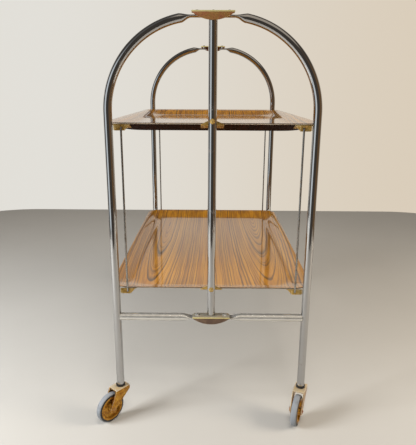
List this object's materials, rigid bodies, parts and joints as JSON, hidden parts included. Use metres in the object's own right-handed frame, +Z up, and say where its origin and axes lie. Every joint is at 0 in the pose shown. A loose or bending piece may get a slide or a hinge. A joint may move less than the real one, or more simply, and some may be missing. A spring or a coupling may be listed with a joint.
{
  "type": "folding tea trolley",
  "caption": "Two-tier folding tea trolley: arched tube end frames with hinged centre posts, tilting dished trays tied by wire rods, and swivel casters.",
  "frame": {"origin": "floor under the middle of the trolley", "axes": "+X across the trolley, +Y along it from the front arch to the rear one, +Z up"},
  "size_m": [0.4718, 0.8094, 0.814],
  "materials": {
    "chrome_tube": "aged chrome plate",
    "plated_bracket": "worn, slightly yellowed plate",
    "zinc_bracket": "yellow zinc plate with a little rust",
    "rod_steel": "drawn wire",
    "tray_laminate": "glossy wood-grain laminate",
    "caster_gold": "amber lacquered pressed steel",
    "tyre_rubber": "worn hard rubber",
    "black_bush": "moulded black plastic"
  },
  "bodies": {
    "frame": {"front_post": "chrome_tube", "front_top_bracket": "plated_bracket", "front_bottom_bracket": "plated_bracket", "rear_post": "chrome_tube", "rear_top_bracket": "plated_bracket", "rear_bottom_bracket": "plated_bracket", "front_left_leg": "chrome_tube", "front_left_crossbar": "chrome_tube", "front_right_leg": "chrome_tube", "front_right_crossbar": "chrome_tube", "rear_left_leg": "chrome_tube", "rear_left_crossbar": "chrome_tube", "rear_right_leg": "chrome_tube", "rear_right_crossbar": "chrome_tube", "frame_rivets": "plated_bracket", "pivot_bolts": "plated_bracket", "pivot_spacers": "rod_steel", "leg_bushes": "black_bush"},
    "upper_tray": {"upper_tray": "tray_laminate", "upper_tray_rivets": "zinc_bracket", "upper_front_pivot_bracket": "zinc_bracket", "upper_rear_pivot_bracket": "zinc_bracket", "upper_front_left_bracket": "zinc_bracket", "upper_front_right_bracket": "zinc_bracket", "upper_rear_left_bracket": "zinc_bracket", "upper_rear_right_bracket": "zinc_bracket"},
    "lower_tray": {"lower_tray": "tray_laminate", "lower_tray_rivets": "zinc_bracket", "lower_front_pivot_bracket": "zinc_bracket", "lower_rear_pivot_bracket": "zinc_bracket", "lower_front_left_bracket": "zinc_bracket", "lower_front_right_bracket": "zinc_bracket", "lower_rear_left_bracket": "zinc_bracket", "lower_rear_right_bracket": "zinc_bracket"},
    "front_left_tie": {"front_left_rod": "rod_steel"},
    "front_left_swivel": {"front_left_caster_fork": "caster_gold", "front_left_caster_stem": "rod_steel", "front_left_caster_axle": "rod_steel"},
    "front_left_wheel": {"front_left_caster_hub": "caster_gold", "front_left_caster_tyre": "tyre_rubber"},
    "front_right_tie": {"front_right_rod": "rod_steel"},
    "front_right_swivel": {"front_right_caster_fork": "caster_gold", "front_right_caster_stem": "rod_steel", "front_right_caster_axle": "rod_steel"},
    "front_right_wheel": {"front_right_caster_hub": "caster_gold", "front_right_caster_tyre": "tyre_rubber"},
    "rear_left_tie": {"rear_left_rod": "rod_steel"},
    "rear_left_swivel": {"rear_left_caster_fork": "caster_gold", "rear_left_caster_stem": "rod_steel", "rear_left_caster_axle": "rod_steel"},
    "rear_left_wheel": {"rear_left_caster_hub": "caster_gold", "rear_left_caster_tyre": "tyre_rubber"},
    "rear_right_tie": {"rear_right_rod": "rod_steel"},
    "rear_right_swivel": {"rear_right_caster_fork": "caster_gold", "rear_right_caster_stem": "rod_steel", "rear_right_caster_axle": "rod_steel"},
    "rear_right_wheel": {"rear_right_caster_hub": "caster_gold", "rear_right_caster_tyre": "tyre_rubber"}
  },
  "joints": [
    {"name": "upper_tray_tilt", "type": "hinge", "parent": "frame", "child": "upper_tray", "pos_m": [0, 0, 0.6245], "axis": [0, 1, 0], "range_deg": [0, 80]},
    {"name": "lower_tray_tilt", "type": "hinge", "parent": "frame", "child": "lower_tray", "pos_m": [0, 0, 0.2945], "axis": [0, 1, 0], "range_deg": [0, 80]},
    {"name": "front_left_rod_hook", "type": "hinge", "parent": "upper_tray", "child": "front_left_tie", "pos_m": [-0.171, -0.346, 0.611], "axis": [0, 1, 0], "range_deg": [-80, 0]},
    {"name": "front_right_rod_hook", "type": "hinge", "parent": "upper_tray", "child": "front_right_tie", "pos_m": [0.171, -0.346, 0.611], "axis": [0, 1, 0], "range_deg": [-80, 0]},
    {"name": "rear_left_rod_hook", "type": "hinge", "parent": "upper_tray", "child": "rear_left_tie", "pos_m": [-0.171, 0.346, 0.611], "axis": [0, 1, 0], "range_deg": [-80, 0]},
    {"name": "rear_right_rod_hook", "type": "hinge", "parent": "upper_tray", "child": "rear_right_tie", "pos_m": [0.171, 0.346, 0.611], "axis": [0, 1, 0], "range_deg": [-80, 0]},
    {"name": "front_left_caster_swivel", "type": "hinge", "parent": "frame", "child": "front_left_swivel", "pos_m": [-0.192, -0.346, 0.075], "axis": [0, 0, 1], "continuous": true},
    {"name": "front_left_wheel_spin", "type": "hinge", "parent": "front_left_swivel", "child": "front_left_wheel", "pos_m": [-0.21168, -0.36864, 0.032], "axis": [0.7547, -0.6561, 0], "continuous": true},
    {"name": "front_right_caster_swivel", "type": "hinge", "parent": "frame", "child": "front_right_swivel", "pos_m": [0.192, -0.346, 0.075], "axis": [0, 0, 1], "continuous": true},
    {"name": "front_right_wheel_spin", "type": "hinge", "parent": "front_right_swivel", "child": "front_right_wheel", "pos_m": [0.18076, -0.37382, 0.032], "axis": [0.9272, -0.3746, 0], "continuous": true},
    {"name": "rear_left_caster_swivel", "type": "hinge", "parent": "frame", "child": "rear_left_swivel", "pos_m": [-0.192, 0.346, 0.075], "axis": [0, 0, 1], "continuous": true},
    {"name": "rear_left_wheel_spin", "type": "hinge", "parent": "rear_left_swivel", "child": "rear_left_wheel", "pos_m": [-0.18076, 0.37382, 0.032], "axis": [-0.9272, 0.3746, 0], "continuous": true},
    {"name": "rear_right_caster_swivel", "type": "hinge", "parent": "frame", "child": "rear_right_swivel", "pos_m": [0.192, 0.346, 0.075], "axis": [0, 0, 1], "continuous": true},
    {"name": "rear_right_wheel_spin", "type": "hinge", "parent": "rear_right_swivel", "child": "rear_right_wheel", "pos_m": [0.21168, 0.36864, 0.032], "axis": [-0.7547, 0.6561, 0], "continuous": true}
  ],
  "couplings": [
    {"joint": "lower_tray_tilt", "follows": "upper_tray_tilt", "ratio": 1},
    {"joint": "front_left_rod_hook", "follows": "upper_tray_tilt", "ratio": -1},
    {"joint": "front_right_rod_hook", "follows": "upper_tray_tilt", "ratio": -1},
    {"joint": "rear_left_rod_hook", "follows": "upper_tray_tilt", "ratio": -1},
    {"joint": "rear_right_rod_hook", "follows": "upper_tray_tilt", "ratio": -1}
  ]
}
